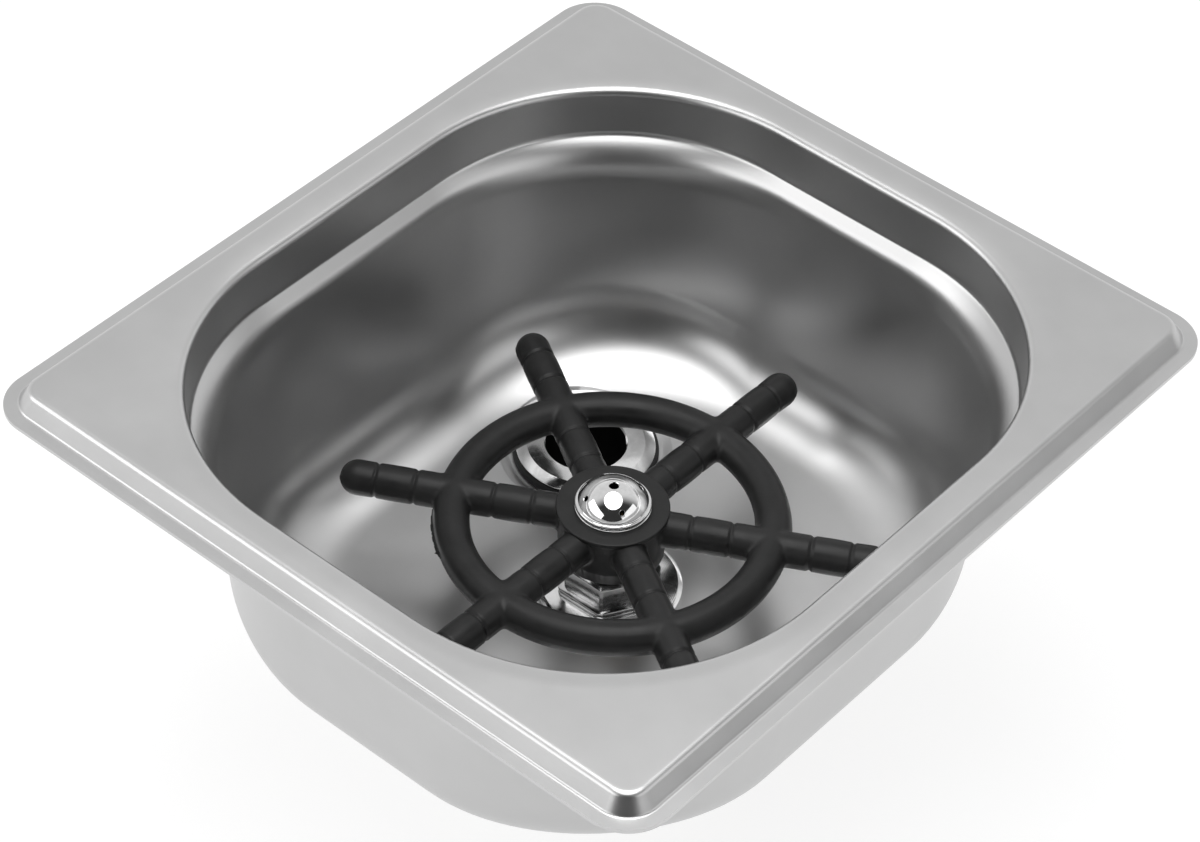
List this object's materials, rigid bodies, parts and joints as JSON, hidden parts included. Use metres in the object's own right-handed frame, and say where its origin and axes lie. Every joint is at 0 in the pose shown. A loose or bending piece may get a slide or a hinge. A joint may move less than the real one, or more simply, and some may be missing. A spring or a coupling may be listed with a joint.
{
  "type": "glass rinser",
  "caption": "Drop-in glass rinser: shallow steel basin with a ledge and flat rim, push-down spider wheel, chrome spray head on a spring-closed water valve, and a floor drain.",
  "frame": {"origin": "centre of the basin, in the plane of the rim lip's underside, which is the counter's top face", "axes": "+Z up out of the basin, +Y along its longer side, +X across; seen from above with +Y up, the drain is to the upper left of the valve"},
  "size_m": [0.162, 0.176, 0.1054],
  "materials": {
    "pressed_steel": "satin pressed stainless steel, fine drawing lines, polished floor",
    "black_plastic": "semi-matte black moulded plastic",
    "chrome": "bright chrome plate",
    "black_rubber": "matte black rubber",
    "brass": "turned brass",
    "zinc_steel": "zinc-plated steel",
    "spring_steel": "drawn spring wire"
  },
  "bodies": {
    "housing": {"basin_rim": "pressed_steel", "basin_ledge": "pressed_steel", "basin_wall": "pressed_steel", "basin_floor": "pressed_steel", "valve_bonnet": "chrome", "bonnet_oring": "black_rubber", "valve_body": "chrome", "valve_disc": "chrome", "disc_gasket": "black_rubber", "return_spring": "spring_steel", "spring_retainer": "brass", "valve_gasket": "black_rubber", "valve_washer": "zinc_steel", "valve_locknut": "brass", "drain_body": "chrome", "drain_top_gasket": "black_rubber", "drain_gasket": "black_rubber", "drain_washer": "zinc_steel", "drain_locknut": "brass"},
    "plunger": {"spider_wheel": "black_plastic", "spray_head": "chrome", "spray_head_gasket": "black_rubber", "plunger_stem": "brass", "stem_oring_upper": "black_rubber", "stem_oring_lower": "black_rubber", "poppet_seal": "black_rubber", "poppet_plate": "brass", "poppet_nut": "zinc_steel"}
  },
  "joints": [
    {"name": "press", "type": "slide", "parent": "housing", "child": "plunger", "axis": [0, 0, -1], "range_m": [0, 0.005], "stiffness_N_per_m": 1100, "springref_m": -0.004, "deforming": ["return_spring"]}
  ]
}
